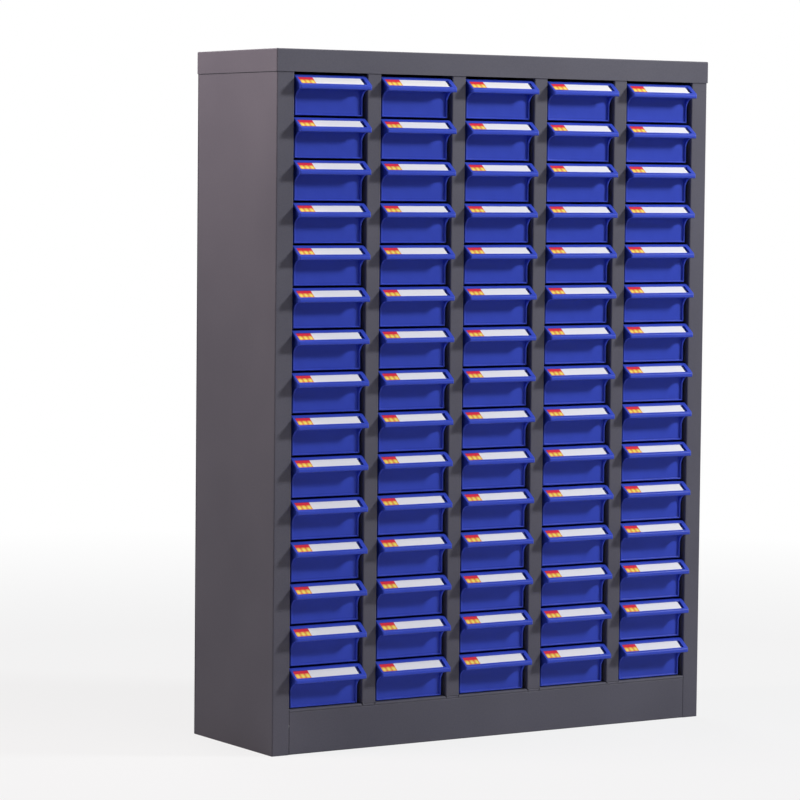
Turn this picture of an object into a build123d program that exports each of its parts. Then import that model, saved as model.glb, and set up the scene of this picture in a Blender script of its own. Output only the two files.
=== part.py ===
"""Small-parts bin cabinet: a folded sheet-steel case with five bays of fifteen moulded drawers.

Millimetres. +Z is up, the drawers face -Y, and the origin is on the floor under the middle of the
whole outline, lips included.
"""
from build123d import *
import math
import os

# ---------------------------------------------------------------- driving dimensions: the case
case_width = 590.0
case_depth = 180.0
case_height = 780.0
column_count = 5
row_count = 15
stile_width = 23.0          # front face of each side panel
divider_width = 18.0        # front face of each divider
header_height = 25.0        # skirt of the top cover
plinth_height = 50.6        # floor to the shelf under the last row
sheet = 0.8                 # steel sheet of the whole case
cap_play = 0.2              # between the top cover's skirt and what it fits over
bend_radius = 1.4           # outside radius of a folded edge
seam_play = 0.1             # between the plinth's ends and the stiles
rear_flange_play = 6.2      # from a side panel's rear flange to its bay wall
base_flange_play = 3.2      # from a side panel's base flange to its bay wall
plinth_top_return = 14.0
plinth_foot_return = 20.0
pan_lip = 2.7               # turned-down front edge of the bottom pan, over the plinth
pan_flange = 12.0           # its turned-down sides and rear
relief_width = 0.9          # slanted slits where the dividers' edges meet the pan's lip
relief_length = 5.0
relief_lean = 35.0          # degrees, their lower ends towards the divider's middle

# ---------------------------------------------------------------- driving dimensions: the runners
runner_sheet = 0.8
runner_ledge = 7.0          # what a drawer's edge rests on
runner_upright = 6.0        # welded to the bay wall
runner_play = 0.2           # under and over what slides on it
runner_setback = 2.0        # behind a closed drawer's front wall
runner_rear_play = 6.0      # short of the back panel

# ---------------------------------------------------------------- driving dimensions: the drawers
header_gap = 3.1            # between the header and the first row of lips
row_gap = 2.6               # between one drawer's underside and the next lip
lip_side_play = 1.0         # between a lip's end and the bay wall
body_side_play = 3.6        # between the drawer below its lip and the bay wall
body_top_play = 0.4         # side walls stop short of the lip's top
wall = 1.6                  # moulded wall
wall_setback = 6.4          # front wall behind the stiles' faces
tray_rear_play = 11.0       # between a closed drawer and the back panel
back_wall_drop = 6.0        # back wall lower than the sides
tray_corner_radius = 4.0
lip_back = 3.3              # lip's upper edge behind the stiles' faces
lip_reach = 12.2            # lip's nose in front of the stiles' faces
lip_drop = 11.4             # from the lip's upper edge down to its nose
nose_height = 4.2           # rounded front edge of the lip
nose_radius = 1.6
lip_corner_radius = 2.5     # the lip's two front corners, seen from above
lip_thickness = 2.2
pocket_depth = 1.2          # label pocket below the rims round it
rim_back = 3.6
rim_front = 3.4
rim_left = 3.0
rim_right = 5.5
slot_width = 2.0            # slot through the lip, at the right end of the pocket
slot_end_rim = 0.8          # pocket left at each end of the slot
nose_thickness = 3.4        # front to back
cheek = 2.2                 # thickness of each end web under the lip
cheek_root = 6.8            # cheeks' hollow edge starts this far in front of the stiles' faces
cheek_setback = 4.6         # and ends this far behind them
cheek_foot = 4.2            # above the drawer's underside, where that edge turns upright
ledge_height = 1.4          # small step along the foot of the front wall
card_thickness = 0.4
card_play = 0.15            # round a card in its pocket

# ---------------------------------------------------------------- driving dimensions: the rivets
rivet_head_radius = 2.4
rivet_head_height = 0.8
rivet_dome = 0.6            # rounding of a head's rim
rivet_shank_radius = 1.5
rivet_hole_play = 0.1
rivet_shank_length = 3.0    # through both sheets, and the set end behind them
rivets_per_side = 6
rivet_end_distance = 40.0   # first and last rivet from the ends of the back panel

# ---------------------------------------------------------------- places worked out from them
bay_width = (
    case_width - 2 * stile_width - (column_count - 1) * divider_width
) / column_count
face_setback = sheet + cap_play                 # stiles' faces behind the header's face
nose_beyond_case = lip_reach - face_setback     # lips in front of the case
overall_depth = case_depth + nose_beyond_case
case_front = nose_beyond_case - overall_depth / 2
case_back = overall_depth / 2
face_y = case_front + face_setback              # stiles, dividers and plinth
back_panel_y = case_back - face_setback         # outer face of the back panel
wall_end_y = back_panel_y - sheet               # where the side panels' rear flanges lie
outer_x = case_width / 2 - face_setback         # outer face of a side panel
inner_x = case_width / 2 - stile_width          # bay face of a side panel
rear_flange_edge = inner_x + sheet + rear_flange_play
cap_underside = case_height - sheet
pan_top = plinth_height
plinth_top = pan_top - pan_lip
last_tray_z = pan_top + runner_sheet + runner_play
first_lip_top = case_height - header_height - header_gap
row_pitch = (first_lip_top - last_tray_z + row_gap) / row_count
tray_height = row_pitch - row_gap
tray_front = wall_setback                       # the next two are in a drawer's own frame
tray_back = wall_end_y - face_y - tray_rear_play
lip_width = bay_width - 2 * lip_side_play
body_width = bay_width - 2 * body_side_play
lip_slope = math.degrees(math.atan2(lip_drop, lip_back + lip_reach))
lip_length = math.hypot(lip_drop, lip_back + lip_reach)
nose_underside = tray_height - lip_drop - nose_height
pocket_left = rim_left - lip_width / 2
pocket_right = lip_width / 2 - rim_right
pocket_length = lip_length - rim_back - rim_front
pocket_middle = rim_back + pocket_length / 2    # down the slope from the lip's upper edge
runner_start_y = face_y + wall_setback + wall + runner_setback
runner_end_y = wall_end_y - runner_rear_play


def bay_centre(column):
    """Middle of a bay, columns counted from 0 at the left."""
    return -case_width / 2 + stile_width + bay_width / 2 + column * (bay_width + divider_width)


def tray_floor(row):
    """Underside of a row's drawers, rows counted from 0 at the top."""
    return first_lip_top - tray_height - row * row_pitch


def block(x0, x1, y0, y1, z0, z1):
    """Rectangular solid between two corners."""
    return Pos((x0 + x1) / 2, (y0 + y1) / 2, (z0 + z1) / 2) * Box(
        abs(x1 - x0), abs(y1 - y0), abs(z1 - z0)
    )


def folded_strip(points, z0, z1):
    """Upright sheet: a centre line in plan, given its thickness and rounded at the folds."""
    path = FilletPolyline(*points, radius=bend_radius - sheet / 2)
    section = trace(path, line_width=sheet)
    return Pos(0, 0, z0) * extrude(section, z1 - z0)


def one_solid(shape):
    """The single solid of a finished piece."""
    return shape.solids()[0]


def write(node, solids):
    """Save one sub-part as a group of its solids."""
    group = Compound(children=list(solids)) if len(solids) > 1 else solids[0]
    group.label = node
    export_step(group, f"parts/{node}.step")


# ---------------------------------------------------------------- case
def side_panel(side):
    """Side panel: rear flange, outer wall, stile and bay wall folded from one sheet."""
    half = sheet / 2
    outline = [
        (side * rear_flange_edge, wall_end_y - half),
        (side * (outer_x - half), wall_end_y - half),
        (side * (outer_x - half), face_y + half),
        (side * (inner_x + half), face_y + half),
        (side * (inner_x + half), wall_end_y),
    ]
    panel = folded_strip(outline, 0, cap_underside)
    foot = block(
        side * (outer_x - half), side * (inner_x + sheet + base_flange_play),
        face_y + bend_radius, wall_end_y - bend_radius, 0, sheet,
    )
    panel = panel + foot
    for x, z in rivet_places():
        if x * side > 0:
            panel = panel - rivet_hole(x, z)
    return one_solid(panel)


def divider_centre(column):
    """Middle of the divider between this bay and the next."""
    return bay_centre(column) + (bay_width + divider_width) / 2


def relief_slits(column):
    """What is cut for the slanted slits at both edges of a divider's foot."""
    cutter = Box(relief_width, 4 * bend_radius, relief_length)
    return [
        Pos(divider_centre(column) + hand * divider_width / 2, face_y, pan_top)
        * Rot(0, hand * relief_lean, 0) * cutter
        for hand in (-1, 1)
    ]


def divider(column):
    """Divider between this bay and the next: a channel, open at the back, slit at its foot."""
    centre = divider_centre(column)
    half = sheet / 2
    reach = divider_width / 2 - half
    outline = [
        (centre - reach, wall_end_y),
        (centre - reach, face_y + half),
        (centre + reach, face_y + half),
        (centre + reach, wall_end_y),
    ]
    channel = folded_strip(outline, pan_top, cap_underside)
    for slit in relief_slits(column):
        channel = channel - slit
    return one_solid(channel)


def top_cover():
    """Cap: a plate with a skirt on all four sides."""
    outside = block(
        -case_width / 2, case_width / 2, case_front, case_back,
        case_height - header_height, case_height,
    )
    upright_edges = outside.edges().filter_by(Axis.Z)
    top_edges = outside.faces().sort_by(Axis.Z)[-1].edges()
    outside = fillet(list(upright_edges) + list(top_edges), bend_radius)
    inside = block(
        -case_width / 2 + sheet, case_width / 2 - sheet, case_front + sheet, case_back - sheet,
        case_height - header_height, cap_underside,
    )
    inner_edges = inside.edges().filter_by(Axis.Z)
    inside = fillet(inner_edges, bend_radius - sheet)
    return one_solid(outside - inside)


def plinth_panel():
    """Front board between the stiles, with a return at its top and one on the floor."""
    half = sheet / 2
    top = plinth_top - half
    path = FilletPolyline(
        (face_y + plinth_top_return, top),
        (face_y + half, top),
        (face_y + half, half),
        (face_y + plinth_foot_return, half),
        radius=bend_radius - half,
    )
    section = Plane.YZ * trace(path, line_width=sheet)
    length = 2 * (inner_x - seam_play)
    return one_solid(Pos(-length / 2, 0, 0) * extrude(section, length, dir=(1, 0, 0)))


def bottom_pan():
    """Shelf over the plinth: a short lip at its front, its side and rear edges turned down."""
    half = sheet / 2
    reach_x = inner_x - seam_play
    rear_y = wall_end_y - seam_play
    path = FilletPolyline(
        (face_y + half, plinth_top),
        (face_y + half, pan_top - half),
        (rear_y - half, pan_top - half),
        (rear_y - half, pan_top - pan_flange),
        radius=bend_radius - half,
    )
    section = Plane.YZ * trace(path, line_width=sheet)
    pan = Pos(-reach_x, 0, 0) * extrude(section, 2 * reach_x, dir=(1, 0, 0))
    flange_front = face_y + plinth_top_return + seam_play
    for hand in (-1, 1):
        pan += block(
            hand * reach_x, hand * (reach_x - sheet), flange_front, rear_y - bend_radius,
            pan_top - pan_flange, pan_top - half,
        )
    for column in range(column_count - 1):
        for slit in relief_slits(column):
            pan = pan - slit
    return one_solid(pan)


def back_panel():
    """Flat rear sheet over the side panels' flanges, drilled for its rivets."""
    panel = block(-outer_x, outer_x, wall_end_y, back_panel_y, 0, cap_underside)
    for x, z in rivet_places():
        panel = panel - rivet_hole(x, z)
    return one_solid(panel)


def rivet_places():
    """Rivets up both edges of the back panel, through the side panels' rear flanges."""
    span = cap_underside - header_height - 2 * rivet_end_distance
    step = span / (rivets_per_side - 1)
    flange_middle = (outer_x + rear_flange_edge) / 2
    return [
        (hand * flange_middle, rivet_end_distance + index * step)
        for hand in (-1, 1)
        for index in range(rivets_per_side)
    ]


def rivet_hole(x, z):
    """What is drilled for one rivet, through the back panel and the flange under it."""
    radius = rivet_shank_radius + rivet_hole_play
    return Pos(x, wall_end_y, z) * Rot(90, 0, 0) * Cylinder(radius, 4 * sheet)


def rivet(x, z):
    """Blind rivet: a low domed head outside and a shank through the back panel."""
    head = Pos(0, 0, rivet_head_height / 2) * Cylinder(rivet_head_radius, rivet_head_height)
    head = fillet(head.edges().sort_by(Axis.Z)[-1], rivet_dome)
    shank = Pos(0, 0, -rivet_shank_length / 2) * Cylinder(rivet_shank_radius, rivet_shank_length)
    return one_solid(Pos(x, back_panel_y, z) * Rot(-90, 0, 0) * (head + shank))


def runner(column, hand, top):
    """One angle strip: a ledge whose upper face is at top, and an upright on the bay wall."""
    wall_x = bay_centre(column) + hand * bay_width / 2
    ledge = block(
        wall_x, wall_x - hand * runner_ledge, runner_start_y, runner_end_y, top - runner_sheet, top
    )
    upright = block(
        wall_x, wall_x - hand * runner_sheet, runner_start_y, runner_end_y, top, top + runner_upright
    )
    return one_solid(ledge + upright)


def runners():
    """Angles under both edges of every drawer, and a pair over the first row to keep it level."""
    strips = []
    for column in range(column_count):
        for hand in (-1, 1):
            for row in range(row_count):
                strips.append(runner(column, hand, tray_floor(row) - runner_play))
            strips.append(runner(column, hand, tray_floor(-1) - runner_play))
    return strips


# ---------------------------------------------------------------- drawers
def lip_outline_points():
    """Upper outline of the lip from its web back at the front wall down to its nose."""
    return [
        (tray_front + wall, tray_height),
        (lip_back, tray_height),
        (-lip_reach, tray_height - lip_drop),
        (-lip_reach, nose_underside),
    ]


def with_round_nose(profile):
    """Round the two front corners of the lip."""
    corners = profile.vertices().filter_by(lambda corner: abs(corner.X + lip_reach) < 0.01)
    return fillet(corners, nose_radius)


def cheek_profile():
    """End web of a drawer's front, seen from its side: the lip's end and the hollow sweep below."""
    reach = cheek_root + cheek_setback
    rise = nose_underside - cheek_foot
    sweep = (reach**2 + rise**2) / (2 * reach)      # upright where it ends
    angle = math.degrees(math.asin(rise / sweep))
    upper = Polyline(*lip_outline_points(), (-cheek_root, nose_underside))
    hollow = CenterArc((cheek_setback - sweep, cheek_foot), sweep, angle, -angle)
    lower = Polyline(
        (cheek_setback, cheek_foot), (cheek_setback, 0), (tray_front + wall, 0),
        (tray_front + wall, tray_height),
    )
    return with_round_nose(make_face([upper, hollow, lower]))


def lip_profile():
    """Lip between its cheeks: a sloping plate with a rounded nose, webbed back to the front wall."""
    fall = lip_drop / (lip_back + lip_reach)
    plate_drop = lip_thickness / math.cos(math.radians(lip_slope))
    nose_rear = -lip_reach + nose_thickness
    web_underside = tray_height - wall
    outline = Polyline(
        *lip_outline_points(),
        (nose_rear, nose_underside),
        (nose_rear, tray_height - plate_drop - fall * (lip_back - nose_rear)),
        (lip_back + (plate_drop - wall) / fall, web_underside),
        (tray_front + wall, web_underside),
        (tray_front + wall, tray_height),
    )
    return with_round_nose(make_face(outline))


def along_x(profile, x0, x1):
    """Extrude a drawing of the drawer's side view between two places across the drawer."""
    return Pos(x0, 0, 0) * extrude(Plane.YZ * profile, x1 - x0, dir=(1, 0, 0))


def on_lip(x, along, lift):
    """Place on the lip's sloping face: across, down the slope from its upper edge, and out of it."""
    return Pos(0, lip_back, tray_height) * Rot(lip_slope, 0, 0) * Pos(x, -along, lift)


def drawer():
    """One moulded drawer in its own frame: x from the bay's middle, y from the stiles' faces."""
    half_body = body_width / 2
    half_lip = lip_width / 2
    side_top = tray_height - body_top_play
    shell = block(-half_body, half_body, tray_front, tray_back, 0, side_top)
    rear_corners = shell.edges().filter_by(Axis.Z).sort_by(Axis.Y)[-2:]
    shell = fillet(rear_corners, tray_corner_radius)
    hollow = block(
        -half_body + wall, half_body - wall, tray_front + wall, tray_back - wall, wall, tray_height
    )
    hollow = fillet(hollow.edges().filter_by(Axis.Z), tray_corner_radius - wall)
    shell = shell - hollow
    shell = shell - block(
        -half_body + tray_corner_radius, half_body - tray_corner_radius,
        tray_back - 2 * wall, tray_back + wall, side_top - back_wall_drop, tray_height,
    )
    front = block(-half_body, half_body, tray_front, tray_front + wall, 0, tray_height)
    foot = block(-half_body, half_body, cheek_setback, tray_front + wall, 0, ledge_height)
    body = shell + front + foot
    body += along_x(lip_profile(), -half_lip, half_lip)
    body += along_x(cheek_profile(), -half_body, -half_body + cheek)
    body += along_x(cheek_profile(), half_body - cheek, half_body)
    pocket = on_lip((pocket_left + pocket_right) / 2, pocket_middle, 0) * Box(
        pocket_right - pocket_left, pocket_length, 2 * pocket_depth
    )
    slot = on_lip(pocket_right - slot_width / 2, pocket_middle, -lip_thickness) * Box(
        slot_width, pocket_length - 2 * slot_end_rim, 2 * lip_thickness
    )
    body = body - pocket - slot
    for hand in (-1, 1):
        body = body - lip_corner(hand)
    return one_solid(body)


def lip_corner(hand):
    """What is cut away to round one front corner of the lip, seen from above."""
    radius = lip_corner_radius
    corner = block(0, hand * radius, -radius, 0, 0, tray_height)
    corner = corner - Cylinder(radius, 2 * tray_height)
    return Pos(hand * (lip_width / 2 - radius), radius - lip_reach, 0) * corner


def label_card():
    """Card lying in the lip's pocket, from its left end to the slot."""
    card_left = pocket_left + card_play
    card_right = pocket_right - slot_width - card_play
    length = pocket_length - 2 * card_play
    place = on_lip(
        (card_left + card_right) / 2, pocket_middle, card_thickness / 2 - pocket_depth
    )
    return one_solid(place * Box(card_right - card_left, length, card_thickness))


moulding = drawer()
card = label_card()


def drawer_at(row, column):
    """A drawer and its card in their place in the case."""
    place = Pos(bay_centre(column), face_y, tray_floor(row))
    return [place * moulding, place * card]


# ---------------------------------------------------------------- write the sub-parts
own_rows = 8                # rows whose drawers are sub-parts of their own; the rest go row by row

os.makedirs("parts", exist_ok=True)
write("left_side_panel", [side_panel(-1)])
write("right_side_panel", [side_panel(1)])
write("top_cover", [top_cover()])
write("back_panel", [back_panel()])
write("plinth_panel", [plinth_panel()])
write("bottom_pan", [bottom_pan()])
for number in range(1, column_count):
    write(f"divider_{number}", [divider(number - 1)])
write("drawer_runners", runners())
write("back_panel_rivets", [rivet(x, z) for x, z in rivet_places()])
for row in range(row_count):
    if row < own_rows:
        for column in range(column_count):
            write(f"drawer_r{row + 1:02d}_c{column + 1}", drawer_at(row, column))
    else:
        solids = [solid for column in range(column_count) for solid in drawer_at(row, column)]
        write(f"drawer_row_{row + 1:02d}", solids)
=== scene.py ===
import math

import bmesh
import bpy
from mathutils import Matrix, Vector


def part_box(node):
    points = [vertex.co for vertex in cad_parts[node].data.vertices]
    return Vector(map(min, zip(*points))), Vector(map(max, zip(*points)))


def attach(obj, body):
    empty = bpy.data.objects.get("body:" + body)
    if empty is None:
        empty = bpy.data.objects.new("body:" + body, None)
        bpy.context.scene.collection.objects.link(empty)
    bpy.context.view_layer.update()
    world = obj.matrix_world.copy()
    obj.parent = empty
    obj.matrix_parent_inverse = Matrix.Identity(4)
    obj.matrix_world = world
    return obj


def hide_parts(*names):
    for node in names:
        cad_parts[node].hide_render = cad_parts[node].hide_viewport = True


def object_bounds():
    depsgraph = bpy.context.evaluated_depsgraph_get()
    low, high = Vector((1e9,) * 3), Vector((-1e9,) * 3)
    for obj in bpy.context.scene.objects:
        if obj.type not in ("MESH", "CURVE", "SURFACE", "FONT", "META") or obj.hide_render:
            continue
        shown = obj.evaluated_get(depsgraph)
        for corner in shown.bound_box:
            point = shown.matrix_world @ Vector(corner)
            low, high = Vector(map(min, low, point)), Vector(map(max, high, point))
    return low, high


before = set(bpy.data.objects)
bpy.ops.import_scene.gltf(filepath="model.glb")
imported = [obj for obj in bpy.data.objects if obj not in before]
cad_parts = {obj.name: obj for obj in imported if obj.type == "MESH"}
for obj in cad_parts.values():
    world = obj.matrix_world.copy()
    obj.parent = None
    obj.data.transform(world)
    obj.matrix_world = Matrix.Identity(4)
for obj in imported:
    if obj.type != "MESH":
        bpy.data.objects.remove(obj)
cad_low, cad_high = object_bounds()

# ---------------------------------------------------------------- side panels
# One 0.8 mm mild steel sheet each, folded into rear flange, outer wall, stile and bay wall. The case
# is spot welded and then powder coated dark grey in one pass, which hides the welds and softens the
# folds.
MM = 0.001


def linear(hex_code):
    """An sRGB hex colour as Blender's linear RGBA."""
    channels = [int(hex_code[i:i + 2], 16) / 255 for i in (1, 3, 5)]
    return [c / 12.92 if c <= 0.04045 else ((c + 0.055) / 1.055) ** 2.4 for c in channels] + [1.0]


def add_node(tree, kind, inputs=None, **settings):
    """Adds a node, sets its properties, and fills its inputs with values or with other sockets."""
    made = tree.nodes.new(kind)
    for name, value in settings.items():
        setattr(made, name, value)
    for name, value in (inputs or {}).items():
        if isinstance(value, bpy.types.NodeSocket):
            tree.links.new(value, made.inputs[name])
        else:
            made.inputs[name].default_value = value
    return made


def per_metre(millimetres):
    """Scale of a texture node whose coordinates are metres, for marks of this size."""
    return 1 / (millimetres * MM)


def new_material(name):
    """An empty material with its output node: the tree, and the output."""
    material = bpy.data.materials.new(name)
    material.use_nodes = True
    material.node_tree.nodes.clear()
    output = add_node(material.node_tree, "ShaderNodeOutputMaterial")
    return material, material.node_tree, output


# The Mix node has one set of sockets per data type, so those for colours are named by their place.
FIRST_COLOUR, SECOND_COLOUR, MIXED_COLOUR = 6, 7, 2
# the range that a noise mostly keeps to
NOISE_LOW, NOISE_HIGH = 0.3, 0.7


def powder_coat(name, dark, light, grit_mm, rough_from, rough_to):
    """Polyester powder coat on steel, baked: it flows into a fine orange peel that breaks the
    reflection of a lamp into a broad, soft sheen, with a faint cloudiness where the coat varies."""
    material, tree, output = new_material(name)
    place = add_node(tree, "ShaderNodeTexCoord").outputs["Object"]
    cloud = add_node(tree, "ShaderNodeTexNoise",
                     {"Vector": place, "Scale": per_metre(140), "Detail": 2.0})
    # real peel is 0.4 to 0.6 mm across; it is drawn coarser so that it shows at all
    peel = add_node(tree, "ShaderNodeTexNoise",
                    {"Vector": place, "Scale": per_metre(grit_mm), "Detail": 3.0, "Roughness": 0.6})
    mottle = add_node(tree, "ShaderNodeMath", {0: cloud.outputs["Fac"], 1: peel.outputs["Fac"]},
                      operation="ADD")
    share = add_node(tree, "ShaderNodeMapRange", {
        "Value": mottle.outputs[0], "From Min": 0.7, "From Max": 1.3})
    colour = add_node(tree, "ShaderNodeMix", {
        "Factor": share.outputs["Result"], FIRST_COLOUR: linear(dark), SECOND_COLOUR: linear(light)},
        data_type="RGBA")
    rough = add_node(tree, "ShaderNodeMapRange", {
        "Value": peel.outputs["Fac"], "From Min": NOISE_LOW, "From Max": NOISE_HIGH,
        "To Min": rough_from, "To Max": rough_to})
    bump = add_node(tree, "ShaderNodeBump", {
        "Height": peel.outputs["Fac"], "Strength": 0.35, "Distance": 0.05 * MM})
    shader = add_node(tree, "ShaderNodeBsdfPrincipled", {
        "Base Color": colour.outputs[MIXED_COLOUR], "Roughness": rough.outputs["Result"],
        "IOR": 1.5, "Specular IOR Level": 0.16, "Normal": bump.outputs["Normal"]})
    tree.links.new(shader.outputs["BSDF"], output.inputs["Surface"])
    return material


def finish_node(node, material):
    """Gives a CAD node of the case its real finish."""
    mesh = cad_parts[node].data
    mesh.materials.clear()
    mesh.materials.append(material)


case_coat = powder_coat("powder_coated_mild_steel", "#575661", "#62616C", 1.6, 0.44, 0.58)
for node in ("left_side_panel", "right_side_panel"):
    finish_node(node, case_coat)

# ---------------------------------------------------------------- bottom pan and plinth panel
# The pan closes the case under the last row, with its edges turned down. The plinth panel is the
# board below it, folded back along its top and its foot, and welded between the stiles.
for node in ("bottom_pan", "plinth_panel"):
    finish_node(node, case_coat)

# ---------------------------------------------------------------- dividers
# Channels folded from the same sheet, open at the back and welded to the pan and the cap. Their
# fronts are the narrow grey strips between the columns of drawers.
COLUMNS = 5

for number in range(1, COLUMNS):
    finish_node(f"divider_{number}", case_coat)

# ---------------------------------------------------------------- drawer runners
# Small angles of the same sheet, welded to the bay walls and coated with the case. Their coat is
# set a little darker and shinier than the rest of the case.
finish_node("drawer_runners",
            powder_coat("darker_runner_coat", "#4C4C55", "#57575F", 1.6, 0.34, 0.5))

# ---------------------------------------------------------------- top cover
# A cap of the same sheet with a skirt on all sides. It wraps the side panels and makes the plain
# header over the first row.
finish_node("top_cover", case_coat)

# ---------------------------------------------------------------- back panel
# A flat sheet that closes the case from behind, riveted to the side panels' rear flanges and coated
# with the rest.
finish_node("back_panel", case_coat)

# ---------------------------------------------------------------- back panel rivets
# Aluminium blind rivets with domed heads, six up each edge of the back panel. They are set bare
# after the coating: a bright metal that has gone a little dull and cloudy.
rivet_metal, tree, output = new_material("bare_aluminium")
place = add_node(tree, "ShaderNodeTexCoord").outputs["Object"]
tarnish = add_node(tree, "ShaderNodeTexNoise", {
    "Vector": place, "Scale": per_metre(2.0), "Detail": 3.0})
tint = add_node(tree, "ShaderNodeMix", {
    "Factor": tarnish.outputs["Fac"], FIRST_COLOUR: linear("#B9BBBE"),
    SECOND_COLOUR: linear("#D5D6D8")}, data_type="RGBA")
rough = add_node(tree, "ShaderNodeMapRange", {
    "Value": tarnish.outputs["Fac"], "From Min": NOISE_LOW, "From Max": NOISE_HIGH,
    "To Min": 0.28, "To Max": 0.46})
shader = add_node(tree, "ShaderNodeBsdfPrincipled", {
    "Base Color": tint.outputs[MIXED_COLOUR], "Metallic": 1.0,
    "Roughness": rough.outputs["Result"]})
tree.links.new(shader.outputs["BSDF"], output.inputs["Surface"])
finish_node("back_panel_rivets", rivet_metal)

# ---------------------------------------------------------------- moulded drawers
# Injection-moulded polypropylene, one piece each: an open tray behind a front wall, and in front
# of it a sloping label lip held up by two hollow-edged end webs, with a finger gap between them.
LIP_WIDTH, BODY_WIDTH, WALL = 92.4, 87.2, 1.6
TRAY_FRONT, TRAY_BACK, TRAY_HEIGHT = 6.4, 166.2, 44.26
SIDE_TOP, REAR_DROP, CORNER = 43.86, 6.0, 4.0
LIP_BACK, LIP_REACH, LIP_DROP, LIP_CORNER = 3.3, 12.2, 11.4, 2.5
NOSE_HEIGHT, NOSE_THICKNESS, NOSE_ROUND = 4.2, 3.4, 1.6
LIP_THICKNESS, POCKET_DEPTH = 2.2, 1.2
RIM_BACK, RIM_FRONT, RIM_LEFT, RIM_RIGHT = 3.6, 3.4, 3.0, 5.5
SLOT_WIDTH, SLOT_END_RIM = 3.0, 0.8
CHEEK, CHEEK_ROOT, CHEEK_SETBACK, CHEEK_FOOT, FOOT_STEP = 2.2, 6.8, 4.6, 17.0, 1.4
EDGE_ROUND, FOOT_ROUND = 0.45, 1.2
# what a cutting solid reaches past the surface that it cuts, so that no skin is left
PAST = 1.0

slope = math.atan2(LIP_DROP, LIP_BACK + LIP_REACH)
lip_length = math.hypot(LIP_DROP, LIP_BACK + LIP_REACH)
nose_under = TRAY_HEIGHT - LIP_DROP - NOSE_HEIGHT
pocket_left, pocket_right = RIM_LEFT - LIP_WIDTH / 2, LIP_WIDTH / 2 - RIM_RIGHT
pocket_length = lip_length - RIM_BACK - RIM_FRONT


def arc(centre, radius, start, end, steps):
    """Points on an arc, angles in degrees."""
    turns = [math.radians(start + (end - start) * i / steps) for i in range(steps + 1)]
    return [(centre[0] + radius * math.cos(t), centre[1] + radius * math.sin(t)) for t in turns]


def prism(outline, low, high, to_bin):
    """A closed solid with this outline between two heights, placed by to_bin(u, v, height)."""
    made = bmesh.new()
    rings = [[made.verts.new([c * MM for c in to_bin(u, v, w)]) for u, v in outline]
             for w in (low, high)]
    made.faces.new(rings[0])
    made.faces.new(rings[1])
    for i in range(len(outline)):
        j = (i + 1) % len(outline)
        made.faces.new((rings[0][i], rings[0][j], rings[1][j], rings[1][i]))
    bmesh.ops.recalc_face_normals(made, faces=made.faces)
    mesh = bpy.data.meshes.new("blank")
    made.to_mesh(mesh)
    made.free()
    blank = bpy.data.objects.new("blank", mesh)
    bpy.context.scene.collection.objects.link(blank)
    return blank


def side_view(u, v, w):
    return (w, u, v)


def plan_view(u, v, w):
    return (u, v, w)


def on_lip(u, v, w):
    """Across the lip, down its slope from the upper edge, and out of its face."""
    return (u, LIP_BACK - v * math.cos(slope) - w * math.sin(slope),
            TRAY_HEIGHT - v * math.sin(slope) + w * math.cos(slope))


def rectangle(u0, u1, v0, v1):
    return [(u0, v0), (u1, v0), (u1, v1), (u0, v1)]


def shown_mesh(piece):
    """The mesh of a piece with its modifiers applied."""
    graph = bpy.context.evaluated_depsgraph_get()
    return bpy.data.meshes.new_from_object(piece.evaluated_get(graph))


def joined(base, others, operation):
    """Adds the other solids to the first, or cuts them from it, and clears them away."""
    for other in others:
        step = base.modifiers.new(operation, "BOOLEAN")
        step.operation, step.solver, step.object = operation, "EXACT", other
    base.data = shown_mesh(base)
    base.modifiers.clear()
    for other in others:
        bpy.data.objects.remove(other)
    return base


def rounded_plan(half, front, back, radius):
    """Tray seen from above: square at the front wall, rounded at the back."""
    return ([(-half, front), (half, front)]
            + arc((half - radius, back - radius), radius, 0, 90, 6)
            + arc((-half + radius, back - radius), radius, 90, 180, 6))


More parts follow.
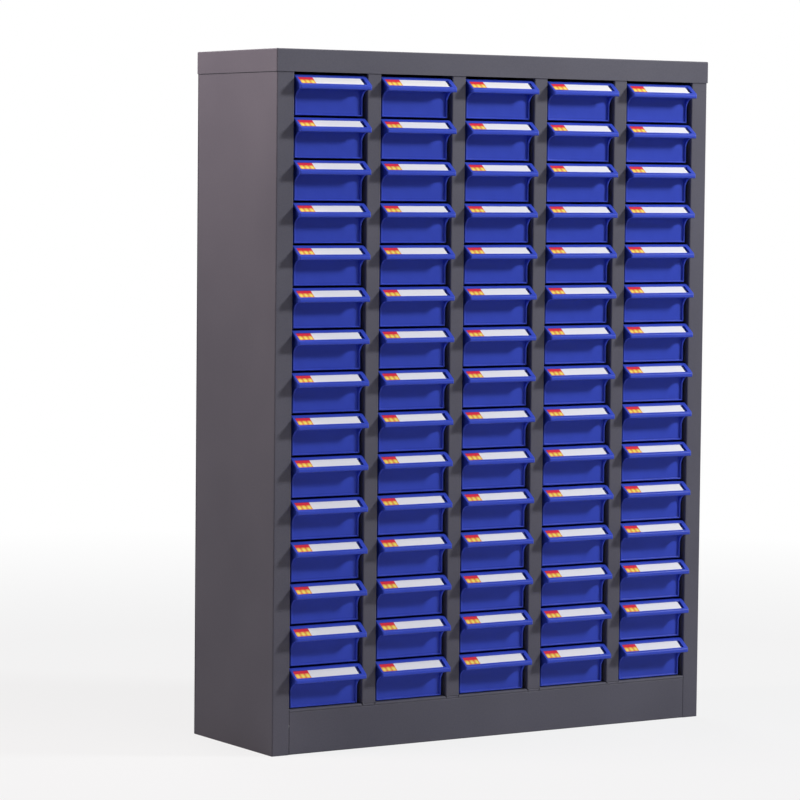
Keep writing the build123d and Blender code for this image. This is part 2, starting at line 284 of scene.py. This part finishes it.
def moulding():
    """The whole drawer as one solid, x from the bay's middle, y from the stiles' faces, z from
    its underside."""
    half_lip, half_body, middle = LIP_WIDTH / 2, BODY_WIDTH / 2, TRAY_FRONT + WALL / 2
    tray = prism(rounded_plan(half_body, middle, TRAY_BACK, CORNER), 0, SIDE_TOP, plan_view)
    hollow = prism(rounded_plan(half_body - WALL, TRAY_FRONT + WALL, TRAY_BACK - WALL, CORNER - WALL),
                   WALL, TRAY_HEIGHT + PAST, plan_view)
    low_rear = prism(rectangle(-half_body + CORNER, half_body - CORNER,
                               TRAY_BACK - 2 * WALL, TRAY_BACK + PAST),
                     SIDE_TOP - REAR_DROP, TRAY_HEIGHT + PAST, plan_view)
    joined(tray, [hollow, low_rear], "DIFFERENCE")

    front = prism(rectangle(TRAY_FRONT, TRAY_FRONT + WALL, 0, TRAY_HEIGHT - WALL / 2),
                  -half_body, half_body, side_view)
    foot = prism(rectangle(CHEEK_SETBACK, middle, 0, FOOT_STEP), -half_body, half_body, side_view)

    fall = LIP_DROP / (LIP_BACK + LIP_REACH)
    plate_drop = LIP_THICKNESS / math.cos(slope)
    nose_rear = -LIP_REACH + NOSE_THICKNESS
    slope_degrees = math.degrees(slope)
    # the nose's upper corner turns from the slope's normal to the front, the lower one on down
    corner_y = -LIP_REACH + NOSE_ROUND
    top_run = NOSE_ROUND * math.tan(math.radians(90 - slope_degrees) / 2)
    upper_centre = (corner_y, TRAY_HEIGHT - LIP_DROP - top_run)
    nose = (arc(upper_centre, NOSE_ROUND, 90 + slope_degrees, 180, 4)
            + arc((corner_y, nose_under + NOSE_ROUND), NOSE_ROUND, 180, 270, 6))
    lip = prism([(TRAY_FRONT + WALL, TRAY_HEIGHT), (LIP_BACK, TRAY_HEIGHT)] + nose
                + [(nose_rear, nose_under),
                   (nose_rear, TRAY_HEIGHT - plate_drop - fall * (LIP_BACK - nose_rear)),
                   (LIP_BACK + (plate_drop - WALL) / fall, TRAY_HEIGHT - WALL),
                   (TRAY_FRONT + WALL, TRAY_HEIGHT - WALL)],
                -half_lip, half_lip, side_view)

    reach, rise = CHEEK_ROOT + CHEEK_SETBACK, nose_under - CHEEK_FOOT
    sweep = (reach ** 2 + rise ** 2) / (2 * reach)
    turn = math.degrees(math.asin(rise / sweep))
    hollow_edge = arc((CHEEK_SETBACK - sweep, CHEEK_FOOT), sweep, turn, 0, 14)
    cheek = ([(middle, TRAY_HEIGHT), (LIP_BACK, TRAY_HEIGHT)] + nose + hollow_edge
             + [(CHEEK_SETBACK, 0), (middle, 0)])
    cheeks = [prism(cheek, low, low + CHEEK, side_view) for low in (-half_body, half_body - CHEEK)]
    joined(tray, [front, foot, lip] + cheeks, "UNION")

    pocket = prism(rectangle(pocket_left, pocket_right, RIM_BACK, RIM_BACK + pocket_length),
                   -POCKET_DEPTH, 2 * PAST, on_lip)
    slot = prism(rectangle(pocket_right - SLOT_WIDTH, pocket_right,
                           RIM_BACK + SLOT_END_RIM, RIM_BACK + pocket_length - SLOT_END_RIM),
                 -2 * LIP_THICKNESS, 0, on_lip)
    corners = []
    for hand in (-1, 1):
        centre = (hand * (half_lip - LIP_CORNER), LIP_CORNER - LIP_REACH)
        front_y, side_x = -LIP_REACH - PAST, hand * (half_lip + PAST)
        rounding = arc(centre, LIP_CORNER, 270, 270 + hand * 90, 6)
        corners.append(prism([(centre[0], front_y)] + rounding + [(side_x, centre[1]),
                                                                  (side_x, front_y)],
                             -PAST, TRAY_HEIGHT + PAST, plan_view))
    joined(tray, [pocket, slot] + corners, "DIFFERENCE")
    return tray


SHARP_DEGREES, FLAT_DEGREES, SAME_POINT = 38, 0.5, 0.002


def soften(piece, widest, plain):
    """Rounds a solid's sharp edges: a tray's lower outside edges by the widest radius, and all
    other edges by the plain one. Points that coincide are joined and flat faces made whole first."""
    made = bmesh.new()
    made.from_mesh(piece.data)
    bmesh.ops.remove_doubles(made, verts=made.verts, dist=SAME_POINT * MM)
    bmesh.ops.dissolve_limit(made, angle_limit=math.radians(FLAT_DEGREES),
                             verts=made.verts, edges=made.edges)
    weights = made.edges.layers.float.new("bevel_weight_edge")
    for edge in made.edges:
        if len(edge.link_faces) == 2 and edge.calc_face_angle(0) > math.radians(SHARP_DEGREES):
            low = all(v.co.z < SAME_POINT * MM and v.co.y > (TRAY_FRONT + WALL - SAME_POINT) * MM
                      for v in edge.verts)
            edge[weights] = 1.0 if low else plain / widest
    made.to_mesh(piece.data)
    made.free()
    rounding = piece.modifiers.new("rounding", "BEVEL")
    rounding.limit_method, rounding.width, rounding.segments = "WEIGHT", widest * MM, 3
    rounding.use_clamp_overlap = False
    rounding.harden_normals = True
    piece.data.polygons.foreach_set("use_smooth", [True] * len(piece.data.polygons))
    piece.modifiers.new("even_shading", "WEIGHTED_NORMAL").keep_sharp = True
    mesh = shown_mesh(piece)
    mesh.name = piece.name
    piece.modifiers.clear()
    piece.data = mesh
    return piece


# Polypropylene, coloured through and moulded in a finely etched tool: waxy, saturated, with a
# satin sheen that turns nearly white along the rounded edges.
bin_blue, tree, output = new_material("moulded_polypropylene")
place = add_node(tree, "ShaderNodeTexCoord").outputs["Object"]
flow = add_node(tree, "ShaderNodeTexNoise", {
    "Vector": place, "Scale": per_metre(30), "Detail": 2.0, "Distortion": 0.6})
tint = add_node(tree, "ShaderNodeMix", {
    "Factor": flow.outputs["Fac"], FIRST_COLOUR: linear("#384DC4"),
    SECOND_COLOUR: linear("#3F56D2")}, data_type="RGBA")
# the etched grain is about 0.1 mm; it is drawn at 0.7 mm so that it shows
grain = add_node(tree, "ShaderNodeTexNoise", {
    "Vector": place, "Scale": per_metre(0.7), "Detail": 2.0})
rough = add_node(tree, "ShaderNodeMapRange", {
    "Value": grain.outputs["Fac"], "From Min": NOISE_LOW, "From Max": NOISE_HIGH,
    "To Min": 0.26, "To Max": 0.38})
bump = add_node(tree, "ShaderNodeBump", {
    "Height": grain.outputs["Fac"], "Strength": 0.25, "Distance": 0.02 * MM})
shader = add_node(tree, "ShaderNodeBsdfPrincipled", {
    "Base Color": tint.outputs[MIXED_COLOUR], "Roughness": rough.outputs["Result"],
    "IOR": 1.49, "Specular IOR Level": 0.16, "Normal": bump.outputs["Normal"]})
tree.links.new(shader.outputs["BSDF"], output.inputs["Surface"])

pattern = moulding()
pattern.name = "drawer_pattern"
soften(pattern, FOOT_ROUND, EDGE_ROUND)
bin_mesh = pattern.data
bin_mesh.materials.clear()
bin_mesh.materials.append(bin_blue)
bpy.data.objects.remove(pattern)

ROWS, OWN_ROWS, BAY_STEP = 15, 8, 112.4


def drawer_places():
    """Every drawer: its name, its CAD node, its body, and where its own origin stands."""
    for row in range(1, ROWS + 1):
        for column in range(1, COLUMNS + 1):
            if row <= OWN_ROWS:
                node, body = f"drawer_r{row:02d}_c{column}", f"bin_r{row:02d}_c{column}"
                steps = 0
            else:
                node, body = f"drawer_row_{row:02d}", f"bins_row_{row:02d}"
                steps = column - 1
            low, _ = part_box(node)
            yield (f"r{row:02d}_c{column}", node, body,
                   Vector((low.x + (LIP_WIDTH / 2 + steps * BAY_STEP) * MM,
                           low.y + LIP_REACH * MM, low.z)))


for name, node, body, origin in drawer_places():
    bin_piece = bpy.data.objects.new(f"moulded_bin_{name}", bin_mesh)
    bpy.context.scene.collection.objects.link(bin_piece)
    bin_piece.location = origin
    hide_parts(node)
    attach(bin_piece, body)

# ---------------------------------------------------------------- label cards
# One coated card in each lip's pocket, die-cut a little short so that it slides in beside the slot:
# white, with a plain block of colour squares at its left end for sorting.
CARD_PLAY, CARD_THICKNESS, CARD_ROUND = 0.15, 0.4, 0.12
card_left, card_right = pocket_left + CARD_PLAY, pocket_right - SLOT_WIDTH - CARD_PLAY
CARD_WIDTH, CARD_LENGTH = card_right - card_left, pocket_length - 2 * CARD_PLAY
BLOCK_WIDTH, BAND_SHARE, SQUARES = 19.0, 0.36, 3

card_shape = prism(rectangle(-CARD_WIDTH / 2, CARD_WIDTH / 2, -CARD_LENGTH / 2, CARD_LENGTH / 2),
                   0, CARD_THICKNESS, plan_view)
soften(card_shape, CARD_ROUND, CARD_ROUND)
card_mesh = card_shape.data
card_mesh.name = "label_card"
bpy.data.objects.remove(card_shape)

# Coated card stock: bright and smooth, with a trace of fibre. The print is flat ink: a red band
# over three squares that go from orange at their edges to yellow in the middle.
card_stock, tree, output = new_material("printed_card_stock")
place = add_node(tree, "ShaderNodeTexCoord").outputs["Object"]
axes = add_node(tree, "ShaderNodeSeparateXYZ", {"Vector": place})
across = add_node(tree, "ShaderNodeMapRange", {
    "Value": axes.outputs["X"], "From Min": -CARD_WIDTH / 2 * MM,
    "From Max": (-CARD_WIDTH / 2 + BLOCK_WIDTH) * MM, "To Min": 0.0, "To Max": SQUARES}, clamp=False)
down = add_node(tree, "ShaderNodeMapRange", {
    "Value": axes.outputs["Y"], "From Min": CARD_LENGTH / 2 * MM,
    "From Max": -CARD_LENGTH / 2 * MM}, clamp=False)
in_block = add_node(tree, "ShaderNodeMath", {0: across.outputs["Result"], 1: SQUARES},
                    operation="LESS_THAN")
in_band = add_node(tree, "ShaderNodeMath", {0: down.outputs["Result"], 1: BAND_SHARE},
                   operation="LESS_THAN")
cell = add_node(tree, "ShaderNodeMath", {0: across.outputs["Result"]}, operation="FRACT")
cell_u = add_node(tree, "ShaderNodeMath", {0: cell.outputs[0], 1: 0.5}, operation="SUBTRACT")
cell_v = add_node(tree, "ShaderNodeMapRange", {
    "Value": down.outputs["Result"], "From Min": BAND_SHARE, "From Max": 1.0,
    "To Min": -0.5, "To Max": 0.5}, clamp=False)
middle = add_node(tree, "ShaderNodeCombineXYZ", {
    "X": cell_u.outputs[0], "Y": cell_v.outputs["Result"]})
radius = add_node(tree, "ShaderNodeVectorMath", {0: middle.outputs[0]}, operation="LENGTH")
ink = add_node(tree, "ShaderNodeValToRGB", {"Fac": radius.outputs["Value"]})
ink.color_ramp.elements[0].position = 0.18
ink.color_ramp.elements[0].color = linear("#FFEC66")
ink.color_ramp.elements[1].position = 0.62
ink.color_ramp.elements[1].color = linear("#EE4A22")
squares = add_node(tree, "ShaderNodeMix", {
    "Factor": in_band.outputs[0], FIRST_COLOUR: ink.outputs["Color"],
    SECOND_COLOUR: linear("#EA2239")}, data_type="RGBA")
fibre = add_node(tree, "ShaderNodeTexNoise", {
    "Vector": place, "Scale": per_metre(1.2), "Detail": 4.0})
stock = add_node(tree, "ShaderNodeMix", {
    "Factor": fibre.outputs["Fac"], FIRST_COLOUR: linear("#F0F0F4"),
    SECOND_COLOUR: linear("#F8F8FB")}, data_type="RGBA")
face = add_node(tree, "ShaderNodeMix", {
    "Factor": in_block.outputs[0], FIRST_COLOUR: stock.outputs[MIXED_COLOUR],
    SECOND_COLOUR: squares.outputs[MIXED_COLOUR]}, data_type="RGBA")
rough = add_node(tree, "ShaderNodeMapRange", {
    "Value": fibre.outputs["Fac"], "From Min": NOISE_LOW, "From Max": NOISE_HIGH,
    "To Min": 0.42, "To Max": 0.55})
shader = add_node(tree, "ShaderNodeBsdfPrincipled", {
    "Base Color": face.outputs[MIXED_COLOUR], "Roughness": rough.outputs["Result"], "IOR": 1.5})
tree.links.new(shader.outputs["BSDF"], output.inputs["Surface"])
card_mesh.materials.append(card_stock)

pocket_floor = Vector(on_lip((card_left + card_right) / 2, RIM_BACK + pocket_length / 2,
                             -POCKET_DEPTH)) * MM
for name, node, body, origin in drawer_places():
    card_piece = bpy.data.objects.new(f"label_card_{name}", card_mesh)
    bpy.context.scene.collection.objects.link(card_piece)
    card_piece.location = origin + pocket_floor
    card_piece.rotation_euler = (slope, 0, 0)
    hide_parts(node)
    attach(card_piece, body)

# ---------------------------------------------------------------- floor
# A plain pale floor that runs out of sight. To the camera and in reflections it is white
# background: nearly so round the cabinet, where the rest takes its shadow, and all white far away.
# Under the cabinet itself it is bare floor, so that nothing glows through the seams.
NEAR_SHARE, NEAR_METRES, FAR_METRES = 0.80, 0.9, 2.2
BARE_HALF_WIDTH, BARE_HALF_DEPTH = cad_high.x - 2 * MM, 82 * MM


def background_ray(tree):
    """1 for the rays that see the background: the camera's own, and those off metal and through
    glass."""
    path = add_node(tree, "ShaderNodeLightPath")
    seen = path.outputs["Is Camera Ray"]
    for name in ("Is Glossy Ray", "Is Transmission Ray"):
        either = add_node(tree, "ShaderNodeMath", {0: seen, 1: path.outputs[name]}, operation="MAXIMUM")
        seen = either.outputs[0]
    return seen


floor_paint, tree, output = new_material("pale_studio_floor")
place = add_node(tree, "ShaderNodeTexCoord").outputs["Object"]
away = add_node(tree, "ShaderNodeVectorMath", {0: place}, operation="LENGTH")
share = add_node(tree, "ShaderNodeMapRange", {
    "Value": away.outputs["Value"], "From Min": NEAR_METRES, "From Max": FAR_METRES,
    "To Min": NEAR_SHARE, "To Max": 1.0})
sides = add_node(tree, "ShaderNodeVectorMath", {0: place}, operation="ABSOLUTE")
axes = add_node(tree, "ShaderNodeSeparateXYZ", {"Vector": sides.outputs[0]})
past_side = add_node(tree, "ShaderNodeMath", {0: axes.outputs["X"], 1: BARE_HALF_WIDTH},
                     operation="GREATER_THAN")
past_front = add_node(tree, "ShaderNodeMath", {0: axes.outputs["Y"], 1: BARE_HALF_DEPTH},
                      operation="GREATER_THAN")
outside = add_node(tree, "ShaderNodeMath", {0: past_side.outputs[0], 1: past_front.outputs[0]},
                   operation="MAXIMUM")
shown = add_node(tree, "ShaderNodeMath", {0: background_ray(tree), 1: outside.outputs[0]},
                 operation="MULTIPLY")
backdrop_share = add_node(tree, "ShaderNodeMath", {0: shown.outputs[0], 1: share.outputs[0]},
                          operation="MULTIPLY")
paint = add_node(tree, "ShaderNodeBsdfDiffuse", {"Color": linear("#C8C8CB")})
glow = add_node(tree, "ShaderNodeEmission", {"Color": linear("#FFFFFF"), "Strength": 1.0})
mixed = add_node(tree, "ShaderNodeMixShader", {
    "Fac": backdrop_share.outputs[0], 1: paint.outputs["BSDF"], 2: glow.outputs["Emission"]})
tree.links.new(mixed.outputs["Shader"], output.inputs["Surface"])

FLOOR_HALF = 30.0
floor_mesh = bpy.data.meshes.new("studio_floor")
floor_mesh.from_pydata([(-FLOOR_HALF, -FLOOR_HALF, 0), (FLOOR_HALF, -FLOOR_HALF, 0),
                        (FLOOR_HALF, FLOOR_HALF, 0), (-FLOOR_HALF, FLOOR_HALF, 0)],
                       [], [(0, 1, 2, 3)])
floor_mesh.materials.append(floor_paint)
floor = bpy.data.objects.new("studio_floor", floor_mesh)
bpy.context.scene.collection.objects.link(floor)

# ---------------------------------------------------------------- studio light
# A soft key high on the right in front throws the drawers' shadows down to the left. A warm lamp
# lights the left side, a wide one over the front the lips, and one behind keeps the back readable.
# The world is white to the camera and in reflections, and a trace of fill for everything else.
ROOM = 0.01


def soft_lamp(name, place, target, size, watts, hex_code):
    """A square soft box at a place, turned to a target."""
    light = bpy.data.lights.new(name, "AREA")
    light.shape, light.size, light.energy = "SQUARE", size, watts
    light.color = linear(hex_code)[:3]
    lamp = bpy.data.objects.new(name, light)
    lamp.location = place
    lamp.rotation_euler = (Vector(target) - Vector(place)).to_track_quat("-Z", "Y").to_euler()
    bpy.context.scene.collection.objects.link(lamp)


soft_lamp("key_softbox", place=(2.3, -1.65, 1.85), target=(-1.2, -0.08, 1.5),
          size=0.5, watts=81, hex_code="#FFFFFF")
soft_lamp("left_softbox", place=(-0.8, 0.12, 1.2), target=(-0.3, 0.05, 0.75),
          size=0.4, watts=9, hex_code="#FFE9E2")
soft_lamp("top_softbox", place=(0.1, -1.05, 2.5), target=(0.0, -0.1, 0.7),
          size=0.9, watts=16, hex_code="#FFFFFF")
soft_lamp("rear_softbox", place=(0.7, 2.6, 1.7), target=(0.0, 0.1, 0.4),
          size=1.2, watts=24, hex_code="#FFFFFF")

world = bpy.data.worlds.new("studio")
bpy.context.scene.world = world
world.use_nodes = True
tree = world.node_tree
tree.nodes.clear()
room = add_node(tree, "ShaderNodeBackground", {"Color": linear("#FFFFFF"), "Strength": ROOM})
white = add_node(tree, "ShaderNodeBackground", {"Color": linear("#FFFFFF"), "Strength": 1.0})
mixed = add_node(tree, "ShaderNodeMixShader", {
    "Fac": background_ray(tree), 1: room.outputs[0], 2: white.outputs[0]})
output = add_node(tree, "ShaderNodeOutputWorld", {"Surface": mixed.outputs[0]})

# ---------------------------------------------------------------- camera
# Where the photograph was taken from: a long lens a little over three metres away, to the left of
# the cabinet and just above its middle. Worked out from the case's corners and the drawers' rows.
YAW, PITCH, ROLL = 0.5641, -0.0665, 0.0102
FOCAL_PIXELS, PICTURE_PIXELS, SENSOR_MM = 3404.9, 800, 36.0
CAMERA_PLACE = (-2.17145, -3.30814, 0.64504)

ahead = Vector((math.sin(YAW) * math.cos(PITCH), math.cos(YAW) * math.cos(PITCH), math.sin(PITCH)))
level = Vector((math.cos(YAW), -math.sin(YAW), 0))
above = level.cross(ahead)
right = level * math.cos(ROLL) + above * math.sin(ROLL)
up = above * math.cos(ROLL) - level * math.sin(ROLL)

optics = bpy.data.cameras.new("photograph")
optics.sensor_width = SENSOR_MM
optics.lens = FOCAL_PIXELS * SENSOR_MM / PICTURE_PIXELS
optics.clip_start, optics.clip_end = 0.05, 100
camera = bpy.data.objects.new("photograph", optics)
camera.matrix_world = (Matrix.Translation(CAMERA_PLACE)
                       @ Matrix((right, up, -ahead)).transposed().to_4x4())
bpy.context.scene.collection.objects.link(camera)
bpy.context.scene.camera = camera
bpy.context.scene.view_settings.view_transform = "Standard"
